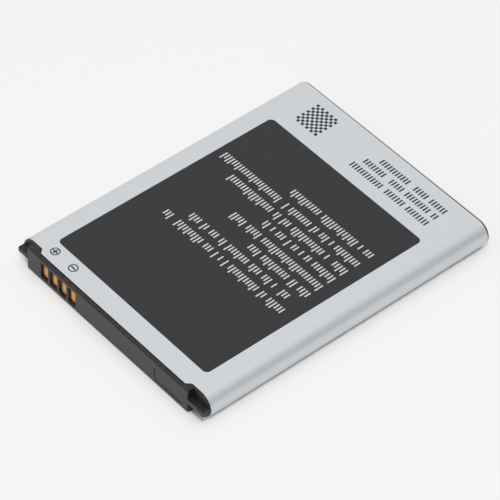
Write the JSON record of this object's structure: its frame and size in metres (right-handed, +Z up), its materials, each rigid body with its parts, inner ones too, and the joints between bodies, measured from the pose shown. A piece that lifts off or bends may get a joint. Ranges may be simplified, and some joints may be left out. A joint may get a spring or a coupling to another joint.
{
  "type": "mobile phone battery",
  "caption": "Flat removable phone battery: a film-wrapped cell can with round sides and a black end cap with keyed corner tongues and recessed gold contacts.",
  "frame": {"origin": "middle of the underside, the face opposite the printed label face", "axes": "+X along the contact edge towards the minus end, +Y from the contact end to the closed end of the can, +Z up through the pack's thickness towards the printed face"},
  "size_m": [0.05, 0.065, 0.0054],
  "materials": {
    "label_film": "satin printed film, silver with a dark field",
    "can_metal": "drawn, dull",
    "cap_plastic": "fine moulded grain, black",
    "gold_plate": "gold plated, satin",
    "nickel": "plain rolled strip",
    "gasket_plastic": "moulded",
    "insulating_fibre": "pressed fibre sheet",
    "tape": "double-sided tape",
    "board_laminate": "solder mask over laminate",
    "breaker_plastic": "moulded",
    "chip_plastic": "moulded",
    "chip_ceramic": "fired, dull"
  },
  "bodies": {
    "root": {"label": "label_film", "cell_can": "can_metal", "can_lid": "can_metal", "terminal_gasket": "gasket_plastic", "negative_terminal": "nickel", "fill_plug": "nickel", "weld_plate": "nickel", "lid_insulator": "insulating_fibre", "end_cap": "cap_plastic", "cap_tape_left": "tape", "cap_tape_right": "tape", "circuit_board": "board_laminate", "negative_board_tab": "nickel", "positive_board_tab": "nickel", "trip_breaker": "breaker_plastic", "breaker_lead": "nickel", "negative_lead": "nickel", "positive_lead": "nickel", "switch_transistor": "chip_plastic", "protection_chip": "chip_plastic", "temperature_sensor": "chip_ceramic", "identity_resistor": "chip_ceramic", "supply_resistor": "chip_ceramic", "sense_resistor": "chip_ceramic", "supply_capacitor": "chip_ceramic", "contact_capacitor": "chip_ceramic", "contact_positive": "gold_plate", "contact_identity": "gold_plate", "contact_sensor": "gold_plate", "contact_negative": "gold_plate"}
  },
  "joints": []
}
